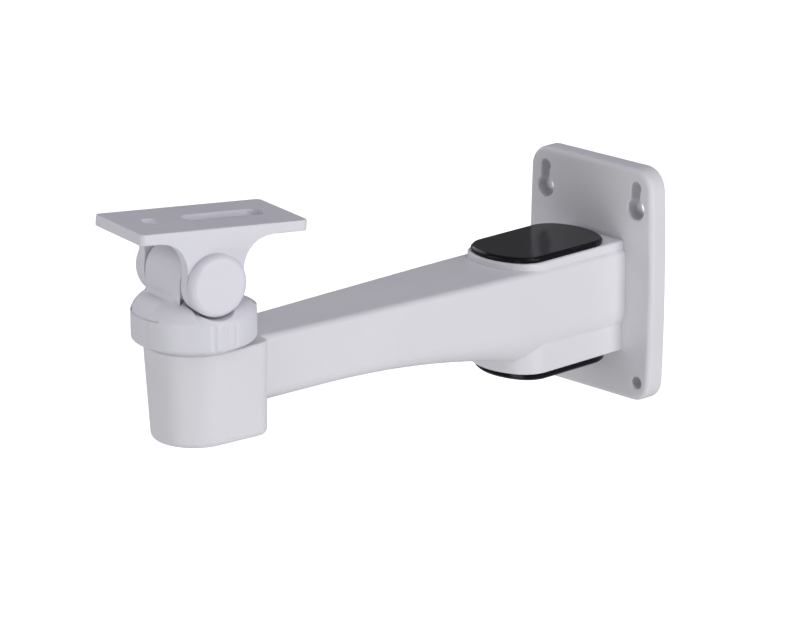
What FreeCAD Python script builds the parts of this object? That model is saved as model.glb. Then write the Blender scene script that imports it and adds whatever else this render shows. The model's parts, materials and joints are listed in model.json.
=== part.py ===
import FreeCAD, Part
import math
import os

# A wall bracket for a surveillance camera. A hollow cast arm stands out from
# a wall plate and ends in a socket. A drum shaped head turns in the socket,
# and a platform for the camera tilts on the head's tongue between two ears.
# X runs along the wall, Y points into the wall and Z points up.
# The origin is the middle of the plate's back face. Lengths are in millimetres.

V = FreeCAD.Vector

# wall plate
plate_width = 63.8
plate_height = 90.0
plate_thickness = 7.9
plate_corner_radius = 8.5
plate_side_bulge = 0.8
plate_front_rounding = 2.0
plate_back_rounding = 0.6
plate_skin = 3.4
plate_rim = 3.6
plate_rib_width = 2.4

# holes for the wall screws
keyhole_spacing_x = 46.6
lower_screw_spacing_x = 50.0
screw_spacing_z = 75.2
screw_hole_diameter = 4.6
keyhole_entry_diameter = 8.0
keyhole_drop = 8.2
hole_rim_bevel = 0.5
hole_boss_wall = 2.2

# arm, from the wall plate to the pan axis
arm_reach = 205.2
arm_wall = 3.0
arm_root_half_width = 18.9
arm_shoulder_half_width = 18.3
arm_shoulder_distance = 66.0
arm_shoulder_blend = 1.0
arm_head_half_width = 12.1
arm_root_top = 13.3
arm_head_top = 15.35
arm_root_bottom = -22.6
arm_head_bottom = -9.0
arm_curve_start = 155.0
arm_curve_turn = 62.0
arm_curve_end = 52.0
arm_top_rounding = 2.4
arm_head_bottom_rounding = 4.6
arm_root_bottom_rounding = 13.0
arm_core_stop = 24.0
arm_core_least_rounding = 0.6
arm_sections = 25

# raised box at the arm's root that the two covers close
box_end_bulge = 1.5
box_corner_radius = 11.0
box_top_half_width = 17.5
box_top_front = 62.9
box_top = 16.4
box_top_rounding = 0.8
box_bottom_half_width = 17.2
box_bottom_front = 61.2
box_bottom = -26.2
box_shaft_half_width = 14.2
box_shaft_front = 58.0
box_shaft_back = 12.6
box_shaft_radius = 9.0

# socket at the arm's head
socket_top_radius = 17.7
socket_bottom_radius = 15.5
socket_back = 20.8
socket_back_radius = 5.0
socket_bottom_back_half_width = 17.1
socket_top = 15.5
socket_bottom = -18.8
socket_bottom_rounding = 2.4
socket_top_rounding = 0.6
socket_collar_radius = 17.0
socket_collar_height = 1.3
socket_collar_root = 1.6
socket_floor = 3.6
bolt_pocket_radius = 9.2

# covers
cover_half_width = 16.6
cover_corner_radius = 10.6
top_cover_front = 61.9
top_cover_back = 10.4
top_cover_thickness = 2.1
bottom_cover_front = 59.2
bottom_cover_back = 8.8
bottom_cover_thickness = 2.9
cover_bevel = 0.8
cover_skirt_depth = 6.0
cover_skirt_wall = 1.6
cover_play = 0.12

# drum of the head
drum_radius = 21.85
drum_height = 13.4
drum_top_rounding = 5.0
drum_foot_rounding = 1.4
groove_depth = 0.35
groove_width = 2.4
groove_spacing_deg = 11.9
groove_top_margin = 3.1
stem_diameter = 20.0
stem_length = 19.0
stem_play = 0.05
friction_ring_radius = 16.6
friction_ring_thickness = 0.5
friction_ring_play = 0.25

# raised crown in front of the tongue, rounded down to a ledge on the drum
crown_top = 33.6
crown_foot = 27.8
crown_foot_setback = 0.9
crown_top_slope_deg = 15.0
crown_rim_rounding = 4.0
crown_blend = 2.5
ledge_depth = 0.5
ledge_half_width = 9.5

# ramp that runs from the tongue out to the drum's edge at the back
ramp_half_width = 10.0
ramp_start = 33.4
ramp_end = 27.9
ramp_blend = 4.2

# tongue and tilt axle
pivot_height = 40.2
pivot_offset = -1.0
tongue_radius = 11.2
axle_play = 0.05
tilt_washer_radius = 8.4
tilt_washer_thickness = 0.7

# platform and ears
platform_length = 66.2
platform_width = 33.0
platform_thickness = 4.0
platform_corner_radius = 2.0
platform_edge_rounding = 0.5
platform_above_pivot = 19.7
platform_offset = 3.4
ear_thickness = 4.0
ear_radius = 11.2
ear_straight = 5.0
ear_clearance = 0.7
slot_width = 8.2
slot_length = 32.2
slot_offset = 8.1
camera_hole_diameter = 7.6
camera_hole_offset = -19.7

# tilt bolt, its nut and the two round caps over them
tilt_bolt_diameter = 6.0
tilt_hex_across_flats = 10.0
tilt_head_height = 4.0
tilt_nut_height = 3.2
tilt_hex_pocket = 2.0
tilt_thread_end = 0.7
hex_play = 0.1
cap_radius = 11.1
cap_height = 3.7
cap_rim_rounding = 2.2
cap_hollow_radius = 6.8
cap_hollow_depth = 2.4
cap_lip_inner = 7.6
cap_lip_outer = 8.9
cap_lip_depth = 1.4
cap_lip_play = 0.1

# pan bolt and its washer
pan_bolt_diameter = 8.0
pan_bolt_across_flats = 13.0
pan_bolt_head_height = 5.3
pan_bolt_grip = 11.0
pan_washer_radius = 8.0
pan_washer_thickness = 1.6

# how the head stands: turned about the pan axis, then tipped about the axle
shown_pan_deg = -11.0
shown_tilt_deg = -3.8

# values that follow from the sizes above
UP = V(0, 0, 1)
SIDE = V(1, 0, 0)
PAN_POINT = V(0, -arm_reach, 0)
PIVOT_POINT = V(0, -arm_reach + pivot_offset, pivot_height)
ear_outer = platform_width / 2
ear_inner = ear_outer - ear_thickness
tongue_half_width = ear_inner - tilt_washer_thickness
collar_top = socket_top + socket_collar_height
drum_low = collar_top + friction_ring_thickness
drum_top = drum_low + drum_height
arm_start = arm_reach - socket_back
arc_bite = 1 - math.sqrt(0.5)
overcut = 1.0


def edge_loop(points):
    """Wire through corner points; a triple gives an arc (start, middle, end)."""
    edges = []
    for item in points:
        if len(item) == 3:
            edges.append(Part.Arc(item[0], item[1], item[2]).toShape())
        else:
            edges.append(Part.makeLine(item[0], item[1]))
    return Part.Wire(edges)


def rounded_section(y, half_width, top, bottom, top_radius, bottom_radius):
    """Upright rounded rectangle, square to the arm, at the place y."""
    w, r, q = half_width, top_radius, bottom_radius
    p1, p2 = V(-w + r, y, top), V(w - r, y, top)
    p3, p4 = V(w, y, top - r), V(w, y, bottom + q)
    p5, p6 = V(w - q, y, bottom), V(-w + q, y, bottom)
    p7, p8 = V(-w, y, bottom + q), V(-w, y, top - r)
    m23 = V(w - r * arc_bite, y, top - r * arc_bite)
    m45 = V(w - q * arc_bite, y, bottom + q * arc_bite)
    m67 = V(-w + q * arc_bite, y, bottom + q * arc_bite)
    m81 = V(-w + r * arc_bite, y, top - r * arc_bite)
    return edge_loop([(p1, p2), (p2, m23, p3), (p3, p4), (p4, m45, p5),
                      (p5, p6), (p6, m67, p7), (p7, p8), (p8, m81, p1)])


def bulged_end(half_width, tip_y, way, radius, bulge, z):
    """Points of a bulged end made of tangent arcs, from the +X side over the
    tip to the -X side. The way is 1 for an end that faces +Y, else -1."""
    span = half_width - radius
    end_radius = radius + (span ** 2 + bulge ** 2) / (2 * bulge)
    centre = V(0, tip_y - way * end_radius, z)
    corner = V(span, tip_y - way * (bulge + radius), z)
    reach = (corner - centre) * (1 / (end_radius - radius))
    half_way = V(reach)
    half_way = (half_way + SIDE).normalize()
    side = corner + SIDE * radius
    middle = corner + half_way * radius
    tangent = centre + reach * end_radius
    right = [side, middle, tangent]
    left = [V(-p.x, p.y, p.z) for p in reversed(right)]
    return right + [V(0, tip_y, z)] + left


def end_arcs(points):
    """Corner, end and corner arcs through the seven points of an end."""
    return [(points[0], points[1], points[2]), (points[2], points[3], points[4]),
            (points[4], points[5], points[6])]


def two_ended_outline(half_width, front, back, radius, bulge, z):
    """Closed level outline with straight sides and a bulged end each way."""
    head_end = bulged_end(half_width, -front, -1, radius, bulge, z)
    wall_end = bulged_end(half_width, -back, 1, radius, bulge, z)[::-1]
    return edge_loop(end_arcs(head_end) + [(head_end[-1], wall_end[0])]
                     + end_arcs(wall_end) + [(wall_end[-1], head_end[0])])


def box_outline(half_width, front, radius, z):
    """Level outline of the root box: a bulged end toward the head and
    straight sides that run into the wall plate."""
    back = -plate_thickness / 2
    points = bulged_end(half_width, -front, -1, radius, box_end_bulge, z)
    right, left = V(half_width, back, z), V(-half_width, back, z)
    return edge_loop(end_arcs(points) + [(points[-1], left), (left, right),
                                         (right, points[0])])


def prism(wire, direction):
    return Part.Face(wire).extrude(direction)


def rounded_plate(length_x, length_y, height, radius):
    """Flat block centred on the Z axis with rounded upright corners."""
    block = Part.makeBox(length_x, length_y, height,
                         V(-length_x / 2, -length_y / 2, 0))
    upright = [e for e in block.Edges
               if abs(e.Vertexes[0].Z - e.Vertexes[-1].Z) > height / 2]
    return block.makeFillet(radius, upright)


def hexagon(across_flats, height, centre, axis):
    """Hexagonal prism that starts at centre and runs along axis."""
    corner = across_flats / math.sqrt(3)
    ring = [V(corner * math.cos(math.radians(60 * i)),
              corner * math.sin(math.radians(60 * i)), 0) for i in range(7)]
    solid = Part.Face(Part.makePolygon(ring)).extrude(V(0, 0, height))
    solid.Placement = FreeCAD.Placement(centre, FreeCAD.Rotation(UP, axis))
    return solid


def level_edges(shape, z, tolerance=0.01):
    """Edges of a shape that lie wholly at the height z."""
    found = []
    for edge in shape.Edges:
        box = edge.BoundBox
        if abs(box.ZMin - z) < tolerance and abs(box.ZMax - z) < tolerance:
            found.append(edge)
    return found


def pan_turned(shape):
    """Turns a head piece to the pan angle that is shown."""
    turned = shape.copy()
    turned.rotate(PAN_POINT, UP, shown_pan_deg)
    return turned


def tilt_turned(shape):
    """Tips a platform piece to the tilt that is shown, then pans it."""
    tipped = shape.copy()
    tipped.rotate(PIVOT_POINT, SIDE, shown_tilt_deg)
    return pan_turned(tipped)


def arm_size(distance):
    """Half width, top, bottom and lower rounding of the arm at a distance
    from the wall. The underside is two parabolas that meet at the turn."""
    along = (arm_start - distance) / (arm_start - plate_thickness)
    top = arm_head_top + (arm_root_top - arm_head_top) * along
    first = arm_curve_start - arm_curve_turn
    second = arm_curve_turn - arm_curve_end
    if distance > arm_curve_turn:
        ease = max(arm_curve_start - distance, 0.0) ** 2 / (first * (first + second))
    else:
        ease = 1 - max(distance - arm_curve_end, 0.0) ** 2 / (second * (first + second))
    bottom = arm_head_bottom + (arm_root_bottom - arm_head_bottom) * ease
    rounding = arm_root_bottom_rounding - arm_head_bottom_rounding
    rounding = arm_head_bottom_rounding + rounding * ease
    rise = arm_shoulder_half_width - arm_head_half_width
    taper = rise / (arm_start - arm_shoulder_distance)
    tapered = arm_head_half_width + taper * (arm_start - distance)
    rise = arm_root_half_width - arm_shoulder_half_width
    taper = rise / (arm_shoulder_distance - plate_thickness)
    straight = arm_shoulder_half_width + taper * (arm_shoulder_distance - distance)
    near = max(arm_shoulder_blend - abs(tapered - straight), 0.0)
    half_width = min(tapered, straight) - near * near / (4 * arm_shoulder_blend)
    return half_width, top, bottom, rounding


def arm_loft(inset, near, far):
    """Loft of the arm's sections, drawn in by the inset, near to far."""
    sections = []
    for i in range(arm_sections):
        distance = near + (far - near) * i / (arm_sections - 1)
        half_width, top, bottom, rounding = arm_size(distance)
        top_radius = max(arm_top_rounding - inset, arm_core_least_rounding)
        bottom_radius = max(rounding - inset, arm_core_least_rounding)
        sections.append(rounded_section(-distance, half_width - inset, top - inset,
                                        bottom + inset, top_radius, bottom_radius))
    return Part.makeLoft(sections, True, False)


# Wall plate: a rounded slab whose back is cored out, leaving a rim, a boss
# round each screw hole, a wall round the arm's mouth and two level ribs.
def plate_slab():
    outline = two_ended_outline(plate_height / 2, plate_width / 2, -plate_width / 2,
                                plate_corner_radius, plate_side_bulge, 0)
    slab = prism(outline, V(0, 0, plate_thickness))
    slab.rotate(V(0, 0, 0), UP, 90)
    slab = slab.makeFillet(plate_front_rounding, level_edges(slab, plate_thickness))
    slab = slab.makeFillet(plate_back_rounding, level_edges(slab, 0))
    slab.rotate(V(0, 0, 0), SIDE, 90)
    return slab


def keyhole_column(x, radius_entry, radius_slot, near, far):
    """Column of keyhole shape between two places on Y, for cut or boss."""
    top_z = screw_spacing_z / 2
    entry_z = top_z - keyhole_drop
    depth = far - near
    axis = V(0, 1, 0)
    column = Part.makeCylinder(radius_entry, depth, V(x, near, entry_z), axis)
    end = Part.makeCylinder(radius_slot, depth, V(x, near, top_z), axis)
    lane = Part.makeBox(2 * radius_slot, depth, keyhole_drop,
                        V(x - radius_slot, near, entry_z))
    return column.fuse([end, lane]).removeSplitter()


def plate_core():
    recess_depth = plate_thickness - plate_skin
    inner_w = plate_width - 2 * (plate_rim + plate_side_bulge)
    inner_h = plate_height - 2 * plate_rim
    inner_r = plate_corner_radius - plate_rim
    core = rounded_plate(inner_w, inner_h, recess_depth + overcut, inner_r)
    core.rotate(V(0, 0, 0), SIDE, 90)
    core.translate(V(0, overcut, 0))
    kept = []
    entry = keyhole_entry_diameter / 2 + hole_boss_wall
    slot = screw_hole_diameter / 2 + hole_boss_wall
    depth = plate_thickness + 2 * overcut
    for sign in (-1, 1):
        kept.append(keyhole_column(sign * keyhole_spacing_x / 2, entry, slot,
                                   -plate_thickness, 2 * overcut))
        kept.append(Part.makeCylinder(slot, depth,
                                      V(sign * lower_screw_spacing_x / 2,
                                        -plate_thickness, -screw_spacing_z / 2),
                                      V(0, 1, 0)))
    half_width, top, bottom, rounding = arm_size(plate_thickness)
    mouth = rounded_section(-plate_thickness, half_width, top, box_bottom,
                            arm_top_rounding, rounding)
    kept.append(prism(mouth, V(0, depth, 0)))
    for z in (top - plate_rib_width, box_bottom + plate_rib_width):
        kept.append(Part.makeBox(plate_width, depth, plate_rib_width,
                                 V(-plate_width / 2, -plate_thickness,
                                   z - plate_rib_width / 2)))
    return core.cut(kept)


def screw_holes():
    """Two keyholes above and two round holes below, with bevelled rims."""
    cuts = []
    near, far = -plate_thickness - overcut, overcut
    hole = screw_hole_diameter / 2
    entry = keyhole_entry_diameter / 2
    high_z = screw_spacing_z / 2
    for sign in (-1, 1):
        key_x = sign * keyhole_spacing_x / 2
        low_x = sign * lower_screw_spacing_x / 2
        cuts.append(keyhole_column(key_x, entry, hole, near, far))
        cuts.append(Part.makeCylinder(hole, far - near, V(low_x, near, -high_z),
                                      V(0, 1, 0)))
        for radius, x, z in ((entry, key_x, high_z - keyhole_drop),
                             (hole, key_x, high_z), (hole, low_x, -high_z)):
            cuts.append(Part.makeCone(radius + hole_rim_bevel, radius, hole_rim_bevel,
                                      V(x, -plate_thickness, z), V(0, 1, 0)))
    return cuts


# Root box: a raised rim above the arm and a deeper one below it, with one
# shaft between them for the cable.
def root_box():
    upper = prism(box_outline(box_top_half_width, box_top_front,
                              box_corner_radius, 0), V(0, 0, box_top))
    rim = [e for e in level_edges(upper, box_top)
           if e.BoundBox.YMin < -plate_thickness]
    upper = upper.makeFillet(box_top_rounding, rim)
    lower = prism(box_outline(box_bottom_half_width, box_bottom_front,
                              box_corner_radius, box_bottom),
                  V(0, 0, -box_bottom))
    return [upper, lower]


def box_shaft():
    outline = two_ended_outline(box_shaft_half_width, box_shaft_front, box_shaft_back,
                                box_shaft_radius, box_end_bulge, box_bottom - overcut)
    return prism(outline, V(0, 0, box_top - box_bottom + 2 * overcut))


# Socket: half round in front and square behind, drawn in toward its bottom.
def socket_outline(radius, back_half_width, z):
    r, w, q = radius, back_half_width, socket_back_radius
    front = -arm_reach
    back = -arm_start
    a, b, c = V(r, front, z), V(0, front - r, z), V(-r, front, z)
    d = V(-w, back - q, z)
    e = V(-w + q * arc_bite, back - q * arc_bite, z)
    f, g = V(-w + q, back, z), V(w - q, back, z)
    h = V(w - q * arc_bite, back - q * arc_bite, z)
    i = V(w, back - q, z)
    return edge_loop([(a, b, c), (c, d), (d, e, f), (f, g), (g, h, i), (i, a)])


def socket_block():
    top_wire = socket_outline(socket_top_radius, socket_top_radius, socket_top)
    low_wire = socket_outline(socket_bottom_radius, socket_bottom_back_half_width,
                              socket_bottom)
    block = Part.makeLoft([low_wire, top_wire], True, True)
    block = block.makeFillet(socket_bottom_rounding, level_edges(block, socket_bottom))
    block = block.makeFillet(socket_top_rounding, level_edges(block, socket_top))
    collar = Part.makeCylinder(socket_collar_radius,
                               socket_collar_height + socket_collar_root,
                               PAN_POINT + V(0, 0, socket_top - socket_collar_root))
    return block.fuse(collar)


# The stem's bore ends on the socket's floor, which the pan bolt clamps.
stem_end = drum_low - stem_length
floor_top = stem_end - stem_play
pan_bearing = floor_top - socket_floor


def socket_cuts():
    """Bore for the stem, hole for the bolt and a pocket for its head."""
    bore = Part.makeCylinder(stem_diameter / 2 + stem_play, 2 * stem_length,
                             PAN_POINT + V(0, 0, floor_top))
    hole = Part.makeCylinder(pan_bolt_diameter / 2 + stem_play, 2 * stem_length,
                             PAN_POINT + V(0, 0, pan_bearing - overcut))
    pocket = Part.makeCylinder(bolt_pocket_radius, pan_bearing - socket_bottom + overcut,
                               PAN_POINT + V(0, 0, socket_bottom - overcut))
    return [bore, hole, pocket]


def arm_casting():
    arm = arm_loft(0.0, plate_thickness / 2, arm_start + socket_back / 3)
    body = plate_slab().cut(plate_core())
    body = body.fuse([arm, socket_block()] + root_box())
    mouth_depth = arm_start - arm_core_stop
    core = arm_loft(arm_wall, -overcut, mouth_depth)
    body = body.cut([core, box_shaft()] + screw_holes() + socket_cuts())
    return body.removeSplitter()


# Covers: thin lids with a bevelled rim and a skirt that plugs the shaft.
def cover(front, back, thickness, base_z, outward):
    """Lid whose rim lies on base_z; outward is 1 for up and -1 for down."""
    rim = two_ended_outline(cover_half_width, front, back, cover_corner_radius,
                            box_end_bulge, 0)
    lid = prism(rim, V(0, 0, thickness))
    lid = lid.makeChamfer(cover_bevel, level_edges(lid, thickness))
    skirts = []
    for inset, top in ((cover_play, thickness / 2),
                       (cover_play + cover_skirt_wall, 0)):
        wire = two_ended_outline(box_shaft_half_width - inset, box_shaft_front - inset,
                                 box_shaft_back + inset, box_shaft_radius - inset,
                                 box_end_bulge, -cover_skirt_depth)
        skirts.append(prism(wire, V(0, 0, cover_skirt_depth + top)))
    lid = lid.fuse(skirts[0]).cut(skirts[1]).removeSplitter()
    if outward < 0:
        lid = lid.mirror(V(0, 0, 0), UP)
    lid.translate(V(0, 0, base_z))
    return lid


# Head: a drum with grip grooves, a stem below and a tongue above.
def drum_blank(top, rounding):
    """Round blank of the drum up to a given top, with both rims rounded."""
    radius = drum_radius
    low = drum_low
    r, t = drum_foot_rounding, rounding
    a, b = V(0, 0, low), V(radius - r, 0, low)
    c = V(radius - r * arc_bite, 0, low + r * arc_bite)
    d = V(radius, 0, low + r)
    e = V(radius, 0, top - t)
    f = V(radius - t * arc_bite, 0, top - t * arc_bite)
    g, h = V(radius - t, 0, top), V(0, 0, top)
    wire = edge_loop([(a, b), (b, c, d), (d, e), (e, f, g), (g, h), (h, a)])
    return Part.Face(wire).revolve(V(0, 0, 0), UP, 360)


def grip_grooves():
    """Three shallow upright hollows at each quarter of the drum."""
    cutters = []
    length = drum_top - groove_top_margin - drum_low
    radius = (groove_width ** 2 / 4 + groove_depth ** 2) / (2 * groove_depth)
    for quarter in range(4):
        for place in (-1, 0, 1):
            bar = Part.makeCylinder(radius, length,
                                    V(0, drum_radius + radius - groove_depth, drum_low))
            bar.rotate(V(0, 0, 0), UP, 90 * quarter + groove_spacing_deg * place)
            cutters.append(bar)
    return cutters


def front_crown():
    """Raised crown before the tongue. Seen from the side its top is one arc
    that steepens toward the drum's edge; the tongue's foot blends into it."""
    face = pivot_offset - tongue_radius
    foot = V(0, crown_foot_setback - drum_radius, crown_foot)
    start = V(0, face - crown_blend, crown_top)
    chord = foot - start
    pitch = math.atan2(-chord.z, -chord.y)
    slope = math.radians(crown_top_slope_deg)
    radius = chord.Length / (2 * math.sin(pitch - slope))
    centre = start - V(0, -math.sin(slope), math.cos(slope)) * radius
    middle = centre + V(0, -math.sin(pitch), math.cos(pitch)) * radius
    back = face + crown_blend
    low = drum_low + drum_foot_rounding
    b = crown_blend
    turn = math.radians(45)
    joint = V(0, face, crown_top + b)
    bow = V(0, face - b * (1 - math.cos(turn)), crown_top + b * (1 - math.sin(turn)))
    edge = -drum_radius - overcut
    rim = [V(0, edge, crown_foot), V(0, edge, low), V(0, back, low)]
    outer = [(start, middle, foot), (foot, rim[0]), (rim[0], rim[1]), (rim[1], rim[2])]
    level = V(0, back, crown_top)
    wide = prism(edge_loop(outer + [(rim[2], level), (level, start)]),
                 V(2 * drum_radius, 0, 0))
    wide.translate(V(-drum_radius, 0, 0))
    high = V(0, back, joint.z)
    narrow = prism(edge_loop(outer + [(rim[2], high), (high, joint),
                                      (joint, bow, start)]),
                   V(2 * tongue_half_width, 0, 0))
    narrow.translate(V(-tongue_half_width, 0, 0))
    limit = drum_blank(crown_top + 2 * crown_blend, crown_rim_rounding + crown_blend)
    crown = wide.fuse(narrow).common(limit)
    ledge = Part.makeCylinder(drum_radius + overcut, pivot_height, V(0, 0, crown_foot))
    ledge = ledge.cut(Part.makeCylinder(drum_radius - ledge_depth, pivot_height,
                                        V(0, 0, crown_foot)))
    lane = Part.makeBox(2 * ledge_half_width, drum_radius + overcut, pivot_height,
                        V(-ledge_half_width, -drum_radius - overcut, crown_foot))
    return crown.cut(ledge.common(lane))


def ramp_wedge(foot):
    """Material that eases the tongue's foot, at the distance foot from the
    pan axis, out to the drum's edge."""
    end = drum_radius + overcut
    r = ramp_blend
    slope = math.atan2(ramp_start - r - ramp_end, end - foot - r)
    turn = math.pi / 2 - slope
    a, b = V(0, foot - overcut, drum_low + drum_foot_rounding), V(0, foot - overcut, ramp_start)
    c = V(0, foot, ramp_start)
    d = V(0, foot + r * (1 - math.cos(turn / 2)), ramp_start - r * math.sin(turn / 2))
    e = V(0, foot + r * (1 - math.cos(turn)), ramp_start - r * math.sin(turn))
    f = V(0, end, ramp_end)
    g = V(0, end, a.z)
    wire = edge_loop([(a, b), (b, c), (c, d, e), (e, f), (f, g), (g, a)])
    wedge = prism(wire, V(2 * ramp_half_width, 0, 0))
    wedge.translate(V(-ramp_half_width, 0, 0))
    return wedge


def swivel_head():
    drum = drum_blank(drum_top, drum_top_rounding)
    crown_room = Part.makeCylinder(drum_radius, pivot_height,
                                   V(0, 0, drum_top - drum_top_rounding))
    envelope = drum.fuse(crown_room)
    drum = drum.fuse(front_crown())
    foot = tongue_radius + pivot_offset
    cuts = grip_grooves()
    cuts.append(Part.makeBox(2 * ramp_half_width, drum_radius, drum_top,
                             V(-ramp_half_width, foot - overcut, ramp_end - overcut)))
    ramp = ramp_wedge(foot).common(envelope)
    clear_radius = ear_radius + ear_clearance
    for sign in (-1, 1):
        start = V(sign * tongue_half_width, pivot_offset, pivot_height)
        cuts.append(Part.makeCylinder(clear_radius, drum_radius, start, V(sign, 0, 0)))
    drum = drum.cut(cuts)
    width = 2 * tongue_half_width
    block_foot = drum_low + drum_foot_rounding
    block = Part.makeBox(width, 2 * tongue_radius, pivot_height - block_foot,
                         V(-tongue_half_width, pivot_offset - tongue_radius, block_foot))
    crown = Part.makeCylinder(tongue_radius, width,
                              V(-tongue_half_width, pivot_offset, pivot_height), SIDE)
    tongue = block.fuse(crown).removeSplitter()
    tongue = tongue.common(envelope)
    stem = Part.makeCylinder(stem_diameter / 2, stem_length + overcut,
                             V(0, 0, stem_end))
    head = drum.fuse([ramp, tongue, stem])
    axle = Part.makeCylinder(tilt_bolt_diameter / 2 + axle_play, 2 * width,
                             V(-width, pivot_offset, pivot_height), SIDE)
    thread = Part.makeCylinder(pan_bolt_diameter / 2, pan_bolt_grip + overcut,
                               V(0, 0, stem_end - overcut))
    head = head.cut([axle, thread]).removeSplitter()
    head.translate(PAN_POINT)
    return pan_turned(head)


def friction_ring():
    """Thin ring on the socket's collar that the drum turns on."""
    inner = stem_diameter / 2 + friction_ring_play
    ring = Part.makeCylinder(friction_ring_radius, friction_ring_thickness)
    ring = ring.cut(Part.makeCylinder(inner, friction_ring_thickness))
    ring.translate(PAN_POINT + V(0, 0, collar_top))
    return ring


# Pan bolt: comes up through the socket's floor into the stem.
def pan_washer():
    washer = Part.makeCylinder(pan_washer_radius, pan_washer_thickness)
    washer = washer.cut(Part.makeCylinder(pan_bolt_diameter / 2 + axle_play,
                                          pan_washer_thickness))
    washer.translate(PAN_POINT + V(0, 0, pan_bearing - pan_washer_thickness))
    return pan_turned(washer)


def pan_bolt():
    under_head = pan_bearing - pan_washer_thickness
    head = hexagon(pan_bolt_across_flats, pan_bolt_head_height,
                   V(0, 0, under_head - pan_bolt_head_height), UP)
    length = pan_bolt_grip + stem_end - under_head
    shank = Part.makeCylinder(pan_bolt_diameter / 2, length, V(0, 0, under_head))
    bolt = head.fuse(shank).removeSplitter()
    bolt.translate(PAN_POINT)
    return pan_turned(bolt)


# Camera platform: a slotted plate with an ear under each long side.
def ear_outline(x):
    """Ear seen from the side, in its own plane, pivot at the origin."""
    under = platform_above_pivot - platform_thickness + overcut / 2
    r = platform_above_pivot - platform_thickness - ear_straight
    w, s = ear_radius, ear_straight
    p = [V(x, -w, 0), V(x, 0, -w), V(x, w, 0), V(x, w, s),
         V(x, w + r * arc_bite, s + r * (1 - arc_bite)), V(x, w + r, s + r),
         V(x, w + r, under), V(x, -w - r, under), V(x, -w - r, s + r),
         V(x, -w - r * arc_bite, s + r * (1 - arc_bite)), V(x, -w, s)]
    return edge_loop([(p[0], p[1], p[2]), (p[2], p[3]), (p[3], p[4], p[5]),
                      (p[5], p[6]), (p[6], p[7]), (p[7], p[8]),
                      (p[8], p[9], p[10]), (p[10], p[0])])


def ear_cuts(sign):
    """Axle hole, hexagon pocket and ring groove in one ear."""
    axis = V(sign, 0, 0)
    hole = Part.makeCylinder(tilt_bolt_diameter / 2 + axle_play, platform_width,
                             V(0, 0, 0), axis)
    pocket = hexagon(tilt_hex_across_flats + 2 * hex_play, platform_width,
                     V(sign * (ear_outer - tilt_hex_pocket), 0, 0), axis)
    start = V(sign * (ear_outer - cap_lip_depth - cap_lip_play), 0, 0)
    groove = Part.makeCylinder(cap_lip_outer + cap_lip_play, platform_width, start, axis)
    inner = Part.makeCylinder(cap_lip_inner - cap_lip_play, platform_width, start, axis)
    return [hole, pocket, groove.cut(inner)]


def camera_platform():
    plate = rounded_plate(platform_width, platform_length, platform_thickness,
                          platform_corner_radius)
    edges = level_edges(plate, platform_thickness) + level_edges(plate, 0)
    plate = plate.makeFillet(platform_edge_rounding, edges)
    plate.translate(V(0, platform_offset, platform_above_pivot - platform_thickness))
    solids = []
    for x in (-ear_outer, ear_inner):
        solids.append(prism(ear_outline(x), V(ear_thickness, 0, 0)))
    body = plate.fuse(solids)
    cuts = ear_cuts(1) + ear_cuts(-1)
    middle = platform_offset + slot_offset
    run = slot_length - slot_width
    low = platform_above_pivot - platform_thickness - overcut
    tall = platform_thickness + 2 * overcut
    for y in (middle - run / 2, middle + run / 2):
        cuts.append(Part.makeCylinder(slot_width / 2, tall, V(0, y, low)))
    cuts.append(Part.makeBox(slot_width, run, tall,
                             V(-slot_width / 2, middle - run / 2, low)))
    cuts.append(Part.makeCylinder(camera_hole_diameter / 2, tall,
                                  V(0, platform_offset + camera_hole_offset, low)))
    body = body.cut(cuts).removeSplitter()
    body.translate(PIVOT_POINT)
    return tilt_turned(body)


def tilt_washers():
    """One friction washer on each side of the tongue, as one pair."""
    washers = []
    for sign in (-1, 1):
        start = V(sign * tongue_half_width, 0, 0)
        disc = Part.makeCylinder(tilt_washer_radius, tilt_washer_thickness,
                                 start, V(sign, 0, 0))
        hole = Part.makeCylinder(tilt_bolt_diameter / 2 + axle_play,
                                 tilt_washer_thickness, start, V(sign, 0, 0))
        washers.append(disc.cut(hole))
    pair = Part.makeCompound(washers)
    pair.translate(PIVOT_POINT)
    return pan_turned(pair)


def tilt_bolt():
    seat = ear_outer - tilt_hex_pocket
    head = hexagon(tilt_hex_across_flats, tilt_head_height, V(seat, 0, 0), SIDE)
    length = 2 * seat + tilt_nut_height + tilt_thread_end
    shank = Part.makeCylinder(tilt_bolt_diameter / 2, length, V(seat, 0, 0), -SIDE)
    bolt = head.fuse(shank).removeSplitter()
    bolt.translate(PIVOT_POINT)
    return tilt_turned(bolt)


def tilt_nut():
    start = V(-ear_outer + tilt_hex_pocket, 0, 0)
    nut = hexagon(tilt_hex_across_flats, tilt_nut_height, start, -SIDE)
    nut = nut.cut(Part.makeCylinder(tilt_bolt_diameter / 2, tilt_nut_height,
                                    start, -SIDE))
    nut.translate(PIVOT_POINT)
    return tilt_turned(nut)


def pivot_cap(sign):
    """Round cap with a full rim and a snap lip that fills the ear's groove."""
    cap = Part.makeCylinder(cap_radius, cap_height)
    cap = cap.makeFillet(cap_rim_rounding, level_edges(cap, cap_height))
    lip = Part.makeCylinder(cap_lip_outer, cap_lip_depth, V(0, 0, -cap_lip_depth))
    cap = cap.fuse(lip).cut(Part.makeCylinder(cap_lip_inner, cap_lip_depth,
                                              V(0, 0, -cap_lip_depth)))
    cap = cap.cut(Part.makeCylinder(cap_hollow_radius, cap_hollow_depth))
    cap = cap.removeSplitter()
    cap.Placement = FreeCAD.Placement(V(sign * ear_outer, 0, 0),
                                      FreeCAD.Rotation(UP, V(sign, 0, 0)))
    cap.translate(PIVOT_POINT)
    return tilt_turned(cap)


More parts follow.
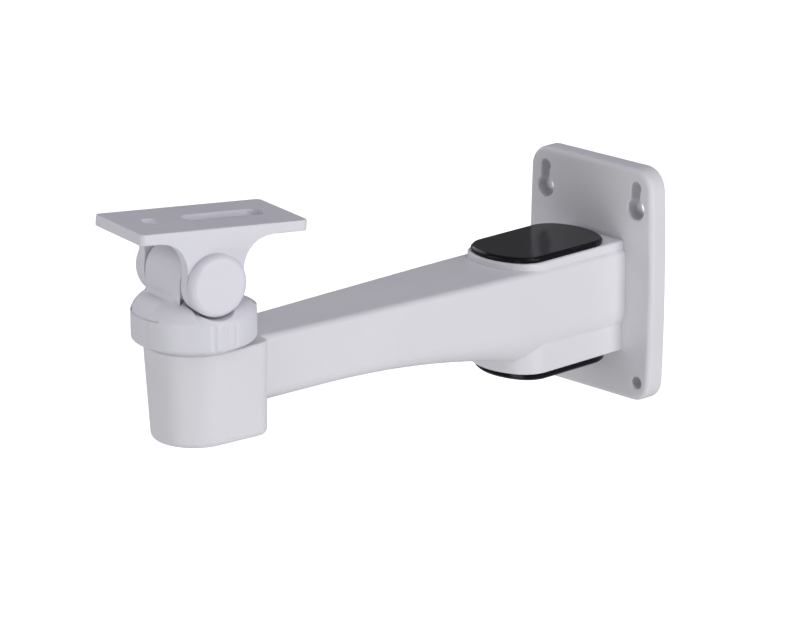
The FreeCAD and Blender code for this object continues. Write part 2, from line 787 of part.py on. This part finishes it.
pieces = {
    "arm_casting": arm_casting(),
    "top_cover": cover(top_cover_front, top_cover_back, top_cover_thickness,
                       box_top, 1),
    "bottom_cover": cover(bottom_cover_front, bottom_cover_back,
                          bottom_cover_thickness, box_bottom, -1),
    "swivel_head": swivel_head(),
    "pan_friction_ring": friction_ring(),
    "pan_washer": pan_washer(),
    "pan_bolt": pan_bolt(),
    "camera_platform": camera_platform(),
    "tilt_friction_washers": tilt_washers(),
    "tilt_bolt": tilt_bolt(),
    "tilt_nut": tilt_nut(),
    "near_pivot_cap": pivot_cap(1),
    "far_pivot_cap": pivot_cap(-1),
}

os.makedirs("parts", exist_ok=True)
for name, shape in pieces.items():
    shape.exportStep("parts/" + name + ".step")
    box = shape.BoundBox
    print(name, "solids", len(shape.Solids), "valid", shape.isValid(),
          "volume", round(shape.Volume, 1),
          "box", [round(v, 2) for v in (box.XMin, box.YMin, box.ZMin,
                                        box.XMax, box.YMax, box.ZMax)])
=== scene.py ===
# %% [markdown]
# The object is a wall bracket for a surveillance camera. A hollow cast arm
# stands out from a wall plate, and a head on its end turns and tilts a small
# slotted platform. All its solids come ready made from the frame, in metres.
# This lesson builds the studio round them and gives them their finishes: a
# satin powder coat on the castings, moulded plastic on the caps and covers,
# and plated steel on the bolts. One form is finished here too, the round
# crown of the swivel head.

# %% Load the frame
import bmesh
import bpy
import json
import math
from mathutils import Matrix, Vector


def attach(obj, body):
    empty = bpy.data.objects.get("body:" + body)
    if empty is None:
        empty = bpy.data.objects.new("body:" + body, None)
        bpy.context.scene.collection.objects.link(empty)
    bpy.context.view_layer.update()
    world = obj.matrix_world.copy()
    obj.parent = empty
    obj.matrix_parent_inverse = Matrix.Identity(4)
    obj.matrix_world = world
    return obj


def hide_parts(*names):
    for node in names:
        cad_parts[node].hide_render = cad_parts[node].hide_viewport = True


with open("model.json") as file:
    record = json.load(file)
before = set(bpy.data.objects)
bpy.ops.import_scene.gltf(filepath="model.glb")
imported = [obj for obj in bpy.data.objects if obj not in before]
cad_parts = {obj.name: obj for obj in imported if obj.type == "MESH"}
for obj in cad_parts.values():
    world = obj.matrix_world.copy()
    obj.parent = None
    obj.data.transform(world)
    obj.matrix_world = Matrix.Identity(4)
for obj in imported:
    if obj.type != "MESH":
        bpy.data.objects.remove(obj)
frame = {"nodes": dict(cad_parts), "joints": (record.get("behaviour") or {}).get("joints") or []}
bpy.ops.object.select_all(action="DESELECT")
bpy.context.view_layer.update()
print("solids:", ", ".join(sorted(frame["nodes"])))

# %% [markdown]
# The camera stands to the right of the arm's free end and looks slightly
# down, as the photographer did. A long lens keeps the plate's edges almost
# parallel. The place and the lens were worked out from the plate's corners,
# the arm's edges and the platform's corners.

# %% Camera
camera_place = (1.074691, -1.142674, 0.455879)
camera_dip = 16.897
camera_turn = 46.048
lens_mm = 194.486
sensor_mm = 36.0
sight_limit = 60.0

camera_data = bpy.data.cameras.new("studio_camera")
camera_data.lens = lens_mm
camera_data.sensor_width = sensor_mm
camera_data.clip_end = sight_limit
camera = bpy.data.objects.new("studio_camera", camera_data)
camera.location = camera_place
camera.rotation_euler = (math.radians(90 - camera_dip), 0, math.radians(camera_turn))
bpy.context.scene.collection.objects.link(camera)
bpy.context.scene.camera = camera
print("camera is", round(Vector(camera_place).length, 2), "m from the wall plate")

# %% [markdown]
# The floor, the sky and every finish are trees of nodes, and a few small
# helpers build them all. The main one feeds a node's inputs by name, with a
# number, a colour, or the socket of another node.

# %% Helpers for node trees
def feed_socket(tree, socket, value):
    """Links the socket to another one, or sets it to a number or a colour."""
    if isinstance(value, bpy.types.NodeSocket):
        tree.links.new(value, socket)
    elif isinstance(value, tuple):
        socket.default_value = (*value, 1)
    else:
        socket.default_value = value


def feed(tree, node, **values):
    """Feeds a node's inputs by name, with _ for each space in the name."""
    for label, value in values.items():
        feed_socket(tree, node.inputs[label.replace("_", " ")], value)
    return node


def new_material(name):
    """A new material with nothing but its Principled shader."""
    material = bpy.data.materials.new(name)
    material.use_nodes = True
    tree = material.node_tree
    tree.nodes.clear()
    shader = tree.nodes.new("ShaderNodeBsdfPrincipled")
    output = tree.nodes.new("ShaderNodeOutputMaterial")
    tree.links.new(shader.outputs["BSDF"], output.inputs["Surface"])
    return material, tree, shader


def mixed(tree, factor, low, high):
    """Colour that runs from low to high as the factor goes from 0 to 1. Each
    end is a colour or a socket."""
    mix = tree.nodes.new("ShaderNodeMix")
    mix.data_type = "RGBA"
    return feed(tree, mix, Factor=factor, A=low, B=high).outputs["Result"]


def ranged(tree, factor, low, high):
    """Value that runs from low to high as the factor goes from 0 to 1."""
    node = tree.nodes.new("ShaderNodeMapRange")
    return feed(tree, node, Value=factor, To_Min=low, To_Max=high).outputs["Result"]


print("helpers: feed_socket, feed, new_material, mixed, ranged")

# %% [markdown]
# The bracket hangs on a wall, so nothing stands under it. The floor is one
# wide white sheet well below it. It glows for the camera alone, so that the
# background is white, and it throws hardly any of that light on the object.

# %% Floor
floor_drop = 1.6
floor_width = 60.0
floor_glow = 0.02
floor_glow_seen = 1.1
paper_roughness = 0.9
paper_grey = (0.97, 0.97, 0.97)
paper_white = (1.0, 1.0, 1.0)
clouds_across_floor = 3.0

bpy.ops.mesh.primitive_plane_add(size=floor_width, location=(0, 0, -floor_drop))
floor = bpy.context.object
floor.name = "studio_floor"
floor_paper, tree, paper = new_material("white_studio_paper")
clouds = feed(tree, tree.nodes.new("ShaderNodeTexNoise"), Scale=clouds_across_floor)
paper_tone = mixed(tree, clouds.outputs["Fac"], paper_grey, paper_white)
camera_ray = tree.nodes.new("ShaderNodeLightPath").outputs["Is Camera Ray"]
feed(tree, paper, Roughness=paper_roughness, Base_Color=paper_tone,
     Emission_Color=paper_tone,
     Emission_Strength=ranged(tree, camera_ray, floor_glow, floor_glow_seen))
floor.data.materials.append(floor_paper)
print("floor", floor_width, "m wide,", floor_drop, "m below the plate's middle")

# %% [markdown]
# The light is soft and comes mostly from the right, low down: the arm's near
# side is the brightest part, the upper faces are greyer. A high lamp and one
# on the far side lift those faces, a lamp below the arm's end opens up its
# underside, and a small near one models the head. All are large for their
# distance, which gives soft edges.

# %% Lamps
lamp_target = Vector((0.0, -0.12, 0.0))
plain_white = (1, 1, 1)
cool_white = (0.97, 0.96, 1.04)


def softbox(name, bearing, height, power, distance=2.4, side=1.4, tint=plain_white):
    """A square area lamp that looks at the object. Bearing 0 is in front of
    the wall plate, 90 at its right, and height is the angle above the
    horizon, both in degrees."""
    turn, rise = math.radians(bearing), math.radians(height)
    level = math.cos(rise)
    way = Vector((math.sin(turn) * level, -math.cos(turn) * level, math.sin(rise)))
    data = bpy.data.lights.new(name, "AREA")
    data.size = side
    data.energy = power
    data.color = tint
    lamp = bpy.data.objects.new(name, data)
    lamp.location = lamp_target + way * distance
    lamp.rotation_euler = (-way).to_track_quat("-Z", "Y").to_euler()
    lamp.visible_camera = False
    bpy.context.scene.collection.objects.link(lamp)
    print(name, "power", power, "W,", distance, "m away")


softbox("right_low_lamp", bearing=100, height=5, power=28.0)
softbox("right_high_lamp", bearing=90, height=50, power=16.5, tint=cool_white)
softbox("far_side_lamp", bearing=-90, height=25, power=12.5, tint=cool_white)
softbox("front_below_lamp", bearing=15, height=-20, power=13.3)
softbox("near_head_lamp", bearing=-30, height=10, power=2.0, distance=1.0, side=0.5)

# %% [markdown]
# A dim even sky with a touch of blue fills the shadows. Behind the object
# that sky is as white as the floor, so the horizon doesn't show, not even
# from a low camera.

# %% Sky
sky_glow = 0.172
sky_glow_seen = 1.1
sky_tint = (0.965, 0.95, 1.03)
backdrop_white = (1.0, 1.0, 1.0)

sky = bpy.data.worlds.new("soft_sky")
sky.use_nodes = True
tree = sky.node_tree
camera_ray = tree.nodes.new("ShaderNodeLightPath").outputs["Is Camera Ray"]
feed(tree, tree.nodes["Background"],
     Color=mixed(tree, camera_ray, sky_tint, backdrop_white),
     Strength=ranged(tree, camera_ray, sky_glow, sky_glow_seen))
bpy.context.scene.world = sky
bpy.context.scene.view_settings.view_transform = "Standard"
print("sky", sky_glow, "on the object and", sky_glow_seen, "behind it")

# %% [markdown]
# A powder coat melts onto the metal and leaves a skin like fine orange peel:
# bumps about a millimetre wide and a few micrometres high, with a finer grain
# on top. One node group makes this height for every coated piece, so the
# castings look alike, and its inputs set the size and the depth for each.

# %% Orange peel of the coat
def new_group(name, inputs, output_names):
    """A shader node group, the sockets where its inputs arrive, and its last
    node, which takes what the group puts out."""
    group = bpy.data.node_groups.new(name, "ShaderNodeTree")
    for label, kind, value in inputs:
        socket = group.interface.new_socket(label, in_out="INPUT", socket_type=kind)
        if value is not None:
            socket.default_value = value
    for label, kind in output_names:
        group.interface.new_socket(label, in_out="OUTPUT", socket_type=kind)
    entry = group.nodes.new("NodeGroupInput").outputs
    leave = group.nodes.new("NodeGroupOutput")
    return group, entry, leave


def math_node(tree, kind, first, second):
    """A Math node fed by two sockets or numbers."""
    node = tree.nodes.new("ShaderNodeMath")
    node.operation = kind
    feed_socket(tree, node.inputs[0], first)
    feed_socket(tree, node.inputs[1], second)
    return node.outputs["Value"]


def noise_node(tree, position, scale, detail=2.0, roughness=0.5):
    """A noise texture over the position; the scale is a socket or a number."""
    node = tree.nodes.new("ShaderNodeTexNoise")
    return feed(tree, node, Vector=position, Scale=scale, Detail=detail,
                Roughness=roughness).outputs["Fac"]


VECTOR, FLOAT = "NodeSocketVector", "NodeSocketFloat"

peel, entry, leave = new_group(
    "coat_peel",
    [("Position", VECTOR, None), ("Peel Per Metre", FLOAT, 700.0),
     ("Grain Per Metre", FLOAT, 4200.0), ("Grain Share", FLOAT, 0.3)],
    [("Height", FLOAT)])
waves = noise_node(peel, entry["Position"], entry["Peel Per Metre"])
grain = noise_node(peel, entry["Position"], entry["Grain Per Metre"])
fine = math_node(peel, "MULTIPLY", grain, entry["Grain Share"])
feed(peel, leave, Height=math_node(peel, "ADD", waves, fine))
print("group", peel.name, "with", len(peel.nodes), "nodes")

# %% [markdown]
# A thing that has been handled is never one even tone. A second group gives a
# slow drift of tone over the piece, and a mask of fine dust that lies only on
# faces that look up. Both are plain values, so each material mixes them in its
# own way.

# %% Drift of tone and settled dust
dust_clumping = 2.0

handled, entry, leave = new_group(
    "tone_and_dust",
    [("Position", VECTOR, None), ("Drift Per Metre", FLOAT, 28.0),
     ("Dust Per Metre", FLOAT, 900.0), ("Dust Amount", FLOAT, 0.2)],
    [("Drift", FLOAT), ("Dust", FLOAT)])
drift = noise_node(handled, entry["Position"], entry["Drift Per Metre"], detail=4.0)
specks = noise_node(handled, entry["Position"], entry["Dust Per Metre"],
                    detail=6.0, roughness=0.7)
surface = handled.nodes.new("ShaderNodeNewGeometry")
split = feed(handled, handled.nodes.new("ShaderNodeSeparateXYZ"),
             Vector=surface.outputs["Normal"])
looking_up = math_node(handled, "MAXIMUM", split.outputs["Z"], 0.0)
clumped = math_node(handled, "POWER", specks, dust_clumping)
settled = math_node(handled, "MULTIPLY", looking_up, clumped)
feed(handled, leave, Drift=drift,
     Dust=math_node(handled, "MULTIPLY", settled, entry["Dust Amount"]))
print("group", handled.name, "with", len(handled.nodes), "nodes")

# %% [markdown]
# Every edge gets a lighter tone, a painted highlight that stays whatever the
# lamps do. The third group compares the true normal with one rounded over about
# half a millimetre: they differ only near an edge, and that difference is the
# mask. It also puts out the rounded normal, which lets a crisp edge catch a thin
# line of light.

# %% Edges of the coat
bevel_samples = 6

edge_look, entry, leave = new_group(
    "edge_highlight_and_rounding",
    [("Radius", FLOAT, 0.0005), ("Spread", FLOAT, 3.0)],
    [("Edge", FLOAT), ("Normal", VECTOR)])
rounded = edge_look.nodes.new("ShaderNodeBevel")
rounded.samples = bevel_samples
feed(edge_look, rounded, Radius=entry["Radius"])
surface = edge_look.nodes.new("ShaderNodeNewGeometry")
together = edge_look.nodes.new("ShaderNodeVectorMath")
together.operation = "DOT_PRODUCT"
feed_socket(edge_look, together.inputs[0], rounded.outputs["Normal"])
feed_socket(edge_look, together.inputs[1], surface.outputs["Normal"])
apart = math_node(edge_look, "SUBTRACT", 1.0, together.outputs["Value"])
stretched = math_node(edge_look, "MULTIPLY", apart, entry["Spread"])
feed(edge_look, leave, Edge=math_node(edge_look, "MINIMUM", stretched, 1.0),
     Normal=rounded.outputs["Normal"])
print("group", edge_look.name, "with", len(edge_look.nodes), "nodes")

# %% [markdown]
# Every finish is put together in the same order: the position on the piece
# feeds the groups, the tone and the roughness come from their masks, and the
# peel goes through a bump node. One function does this. The castings are
# white, the arm a little warmer than the head, whose grey leans to blue. The
# caps are moulded in the head's colour. The two covers are black plastic with
# a soft gloss, and the washers a matt grey polymer.

# %% Finishes of the castings, caps, covers and washers
MICRON = 0.000001
pale_grey_dust = (0.675, 0.67, 0.72)
# The lighter edge tone below is a painted highlight along the edges.
pale_grey_edge_highlight = (0.79, 0.79, 0.84)


def place_group(tree, group, **values):
    """Puts a group in a material and feeds its inputs by name."""
    node = tree.nodes.new("ShaderNodeGroup")
    node.node_tree = group
    return feed(tree, node, **values)


def finish(name, low, high, dust_tone, edge_highlight_tone, roughness, peel_depth,
           peel_per_metre=700.0, dust=0.12, specular=0.5, edge_radius=0.0006):
    """Material of a coated or moulded piece, whose tone drifts from low to
    high and whose roughness drifts between the two given."""
    material, tree, shader = new_material(name)
    place = tree.nodes.new("ShaderNodeTexCoord").outputs["Object"]
    tone = place_group(tree, handled, Position=place, Dust_Amount=dust).outputs
    edge = place_group(tree, edge_look, Radius=edge_radius).outputs
    height = place_group(tree, peel, Position=place, Peel_Per_Metre=peel_per_metre)
    colour = mixed(tree, tone["Drift"], low, high)
    # Painted highlight: every edge is mixed toward a lighter edge tone.
    colour = mixed(tree, edge["Edge"], colour, edge_highlight_tone)
    colour = mixed(tree, tone["Dust"], colour, dust_tone)
    bump = feed(tree, tree.nodes.new("ShaderNodeBump"), Distance=peel_depth,
                Height=height.outputs["Height"], Normal=edge["Normal"])
    feed(tree, shader, Specular_IOR_Level=specular, Base_Color=colour,
         Roughness=ranged(tree, tone["Drift"], *roughness),
         Normal=bump.outputs["Normal"])
    print("finish", name, "with", len(tree.nodes), "nodes")
    return material


# Each edge tone below is lighter than its piece: a painted highlight on the edges.
arm_coat = finish(
    "white_powder_coat", low=(0.727, 0.722, 0.750), high=(0.787, 0.782, 0.808),
    dust_tone=(0.69, 0.685, 0.72), edge_highlight_tone=(0.81, 0.805, 0.835),
    roughness=(0.42, 0.5), peel_depth=12 * MICRON, edge_radius=0.0007)
head_coat = finish(
    "pale_grey_coat", low=(0.702, 0.70, 0.748), high=(0.762, 0.76, 0.806),
    dust_tone=pale_grey_dust, edge_highlight_tone=pale_grey_edge_highlight,
    roughness=(0.40, 0.48), peel_depth=9 * MICRON, peel_per_metre=900.0)
cap_plastic = finish(
    "pale_cap_plastic", low=(0.718, 0.715, 0.765), high=(0.768, 0.765, 0.812),
    dust_tone=pale_grey_dust, edge_highlight_tone=pale_grey_edge_highlight,
    roughness=(0.36, 0.44), peel_depth=6 * MICRON, peel_per_metre=1300.0)
black_plastic = finish(
    "black_moulded_plastic", low=(0.0060, 0.0056, 0.0076),
    high=(0.0090, 0.0084, 0.0112),
    dust_tone=(0.06, 0.06, 0.065), edge_highlight_tone=(0.013, 0.012, 0.016),
    roughness=(0.14, 0.19), peel_depth=1 * MICRON, peel_per_metre=1600.0,
    dust=0.05, specular=0.17)
washer_plastic = finish(
    "grey_washer_polymer", low=(0.16, 0.16, 0.165), high=(0.20, 0.20, 0.205),
    dust_tone=(0.26, 0.26, 0.26), edge_highlight_tone=(0.21, 0.21, 0.215),
    roughness=(0.5, 0.65), peel_depth=4 * MICRON)

# %% [markdown]
# The bolts, the nut and the pan washer are zinc plated. Plated steel is a
# metal whose grey is broken by faint crystals, with fine marks from the
# machine, so its tone and its roughness follow two textures of different size.

# %% Plated steel
zinc_light = (0.62, 0.63, 0.65)
zinc_dark = (0.52, 0.53, 0.56)
zinc_roughness = (0.25, 0.42)
crystals_per_metre = 900.0
marks_per_metre = 240.0

zinc, tree, shader = new_material("zinc_plated_steel")
place = tree.nodes.new("ShaderNodeTexCoord").outputs["Object"]
crystals = feed(tree, tree.nodes.new("ShaderNodeTexVoronoi"), Vector=place,
                Scale=crystals_per_metre)
marks = place_group(tree, handled, Position=place, Drift_Per_Metre=marks_per_metre)
feed(tree, shader, Metallic=1.0,
     Base_Color=mixed(tree, crystals.outputs["Distance"], zinc_light, zinc_dark),
     Roughness=ranged(tree, marks.outputs["Drift"], *zinc_roughness))
print("finish", zinc.name, "with", len(tree.nodes), "nodes")

# %% [markdown]
# The drum of the swivel head has a raised crown before the tongue. On the
# real one the crown is as round as the drum, and falls off to both sides. The
# solid's crown falls off only to the front, so its shoulders stand too high.
# Here they are turned down, as on a lathe, on a copy of the solid that takes
# its place. A cut by another mesh left open edges, so the crown is divided
# into a fine grid instead. The joints give the head's axis and the way it
# faces: the tilt axis runs sideways through it. That axis is written down to
# six digits, so its angle is rounded to a thousandth of a degree.

# %% A copy of the head with a fine grid on its crown
MM = 0.001
drum_radius = 21.85 * MM
crown_foot = 27.8 * MM
crown_highest = 37.0 * MM
rim_depth = 1.0 * MM
tongue_level = 45.0 * MM
grid_step = 0.9 * MM
weld_gap = 0.001 * MM
cut_tolerance = 0.00005 * MM

joints = {joint["name"]: joint for joint in frame["joints"]}
pan_axis = Vector((*joints["pan"]["pos_m"][:2], 0))
tilt_axis = joints["tilt"]["axis"]
pan_degrees = round(math.degrees(math.atan2(tilt_axis[1], tilt_axis[0])), 3)
pan_turn = math.radians(pan_degrees)
sideways = Vector((math.cos(pan_turn), math.sin(pan_turn), 0))
forward = Vector((math.sin(pan_turn), -math.cos(pan_turn), 0))

solid_head = frame["nodes"]["swivel_head"]
round_head = solid_head.copy()
round_head.data = solid_head.data.copy()
round_head.name = "round_crowned_head"
bpy.context.scene.collection.objects.link(round_head)
shell = bmesh.new()
shell.from_mesh(round_head.data)
bmesh.ops.remove_doubles(shell, verts=shell.verts, dist=weld_gap)
tongue_half_width = max(abs((corner.co - pan_axis).dot(sideways))
                        for corner in shell.verts if corner.co.z > tongue_level)


def crown_part():
    """Faces, edges and corners of the crown and the drum's rim before it."""
    faces = []
    for face in shell.faces:
        centre = face.calc_center_median()
        if (crown_foot - rim_depth < centre.z < crown_highest
                and (centre - pan_axis).dot(forward) > 0):
            faces.append(face)
    edges = {edge for face in faces for edge in face.edges}
    corners = {corner for face in faces for corner in face.verts}
    return faces + list(edges) + list(corners)


def cut_crown(place, way):
    """Divides the crown's faces along a plane."""
    bmesh.ops.bisect_plane(shell, geom=crown_part(), dist=cut_tolerance,
                           plane_co=place, plane_no=way)


steps = int(drum_radius / grid_step) + 1
for step in range(-steps, steps + 1):
    for way in (sideways, forward):
        cut_crown(pan_axis + way * (step * grid_step), way)
for level in range(1, int((crown_highest - crown_foot) / grid_step)):
    cut_crown((0, 0, crown_foot + level * grid_step), (0, 0, 1))
print("head turned", pan_degrees, "degrees, tongue",
      round(2 * tongue_half_width / MM, 1), "mm wide, grid of",
      len(shell.verts), "corners")

# %% [markdown]
# In a cut through the pan axis the round crown is one arc that falls from the
# tongue to the drum's rim. Each corner of the grid that stands above it is
# lowered onto it. The fillet at the tongue's foot goes down with the crown,
# and fades out toward the tongue's corners.

# %% Turn the crown's shoulders down
crown_arc_radius = 9.127 * MM
crown_arc_from_axis = 13.24 * MM
crown_arc_height = 24.78 * MM
crown_level = 33.6 * MM
tongue_face = 12.2 * MM
fillet_size = 2.5 * MM
fillet_fade = 3.5 * MM
slack = 0.01 * MM
lowered_weld_gap = 0.002 * MM
sliver_size = 0.0005 * MM
crease_angle = math.radians(30)


def crown_height(radius):
    """Height of the round crown at a distance from the pan axis."""
    beyond = radius - crown_arc_from_axis
    rise = crown_arc_radius ** 2 - beyond ** 2
    return max(crown_foot, crown_arc_height + math.sqrt(max(rise, 0)))


def soft_step(share):
    """Runs from 0 to 1 with no kink at either end."""
    share = min(1.0, max(0.0, share))
    return share * share * (3 - 2 * share)


lowered = 0
for corner in shell.verts:
    reach = corner.co - pan_axis
    across, ahead = abs(reach.dot(sideways)), reach.dot(forward)
    radius = math.hypot(across, ahead)
    if ahead <= 0 or radius < min(crown_arc_from_axis, tongue_face):
        continue
    top = min(crown_height(radius), crown_level)
    above = corner.co.z - crown_level
    if across < tongue_half_width + slack and ahead < tongue_face + fillet_size:
        if ahead < tongue_face - slack or above > fillet_size + slack:
            continue
        fade = soft_step((tongue_half_width - across) / fillet_fade)
        top += max(0.0, above) * fade
    if corner.co.z > top:
        corner.co.z = top
        lowered += 1
bmesh.ops.remove_doubles(shell, verts=shell.verts, dist=lowered_weld_gap)
bmesh.ops.dissolve_degenerate(shell, edges=shell.edges, dist=sliver_size)
open_edges = sum(len(edge.link_faces) != 2 for edge in shell.edges)
shell.to_mesh(round_head.data)
shell.free()
print(lowered, "corners lowered,", open_edges, "open edges,",
      len(round_head.data.polygons), "faces")

# %% [markdown]
# The copy's old normals no longer fit its faces, so they are cleared and made
# again from the faces. Then the copy takes the solid's place, rides with the
# head and wears its coat.

# %% Put the copy in the solid's place
bpy.ops.object.select_all(action="DESELECT")
round_head.select_set(True)
bpy.context.view_layer.objects.active = round_head
bpy.ops.mesh.customdata_custom_splitnormals_clear()
bpy.ops.object.shade_smooth_by_angle(angle=crease_angle)
evened = round_head.modifiers.new("evened", "WEIGHTED_NORMAL")
evened.keep_sharp = True
bpy.ops.object.modifier_apply(modifier=evened.name)
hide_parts("swivel_head")
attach(round_head, "head")
for slot in round_head.material_slots:
    slot.material = head_coat
print(round_head.name, "wears", head_coat.name)

# %% [markdown]
# The other solids keep their own shape and only get a finish, picked by name.

# %% Give each solid its finish
finishes = {
    "arm_casting": arm_coat,
    "top_cover": black_plastic,
    "bottom_cover": black_plastic,
    "swivel_head": head_coat,
    "camera_platform": head_coat,
    "near_pivot_cap": cap_plastic,
    "far_pivot_cap": cap_plastic,
    "pan_friction_ring": washer_plastic,
    "tilt_friction_washers": washer_plastic,
    "pan_washer": zinc,
    "pan_bolt": zinc,
    "tilt_bolt": zinc,
    "tilt_nut": zinc,
}
for name, solid in frame["nodes"].items():
    for slot in solid.material_slots:
        slot.material = finishes[name]
    print(name, "wears", finishes[name].name)
